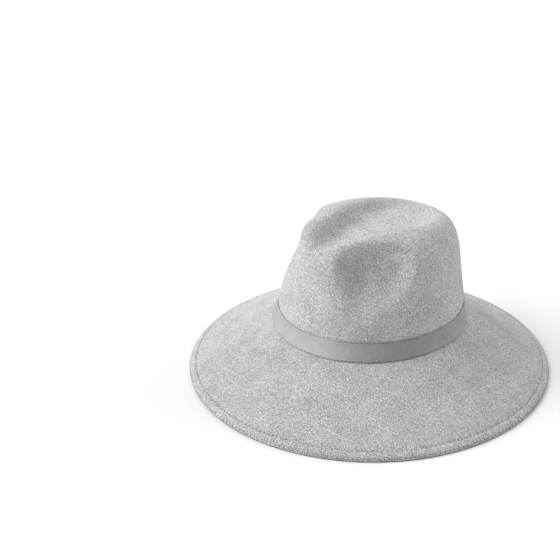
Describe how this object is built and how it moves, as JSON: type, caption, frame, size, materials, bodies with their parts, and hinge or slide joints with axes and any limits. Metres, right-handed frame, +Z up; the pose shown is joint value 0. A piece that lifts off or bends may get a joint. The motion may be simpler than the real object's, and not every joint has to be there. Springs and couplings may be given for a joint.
{
  "type": "wide-brim hat",
  "caption": "Wide-brim felt hat with a teardrop-dented, pinched crown, a down-sloping stitched brim and a plain ribbon band.",
  "frame": {"origin": "middle of the brim, on the surface that the hem rests on", "axes": "+Z up through the crown, -Y towards the pinched front of the hat, X across the head"},
  "size_m": [0.354, 0.365, 0.162],
  "materials": {
    "felt": "light grey melange wool felt, matt and slightly fuzzy",
    "ribbon": "grey grosgrain ribbon, finely ribbed with a soft sheen"
  },
  "bodies": {
    "root": {"crown": "felt", "brim": "felt", "ribbon_band": "ribbon"}
  },
  "joints": []
}
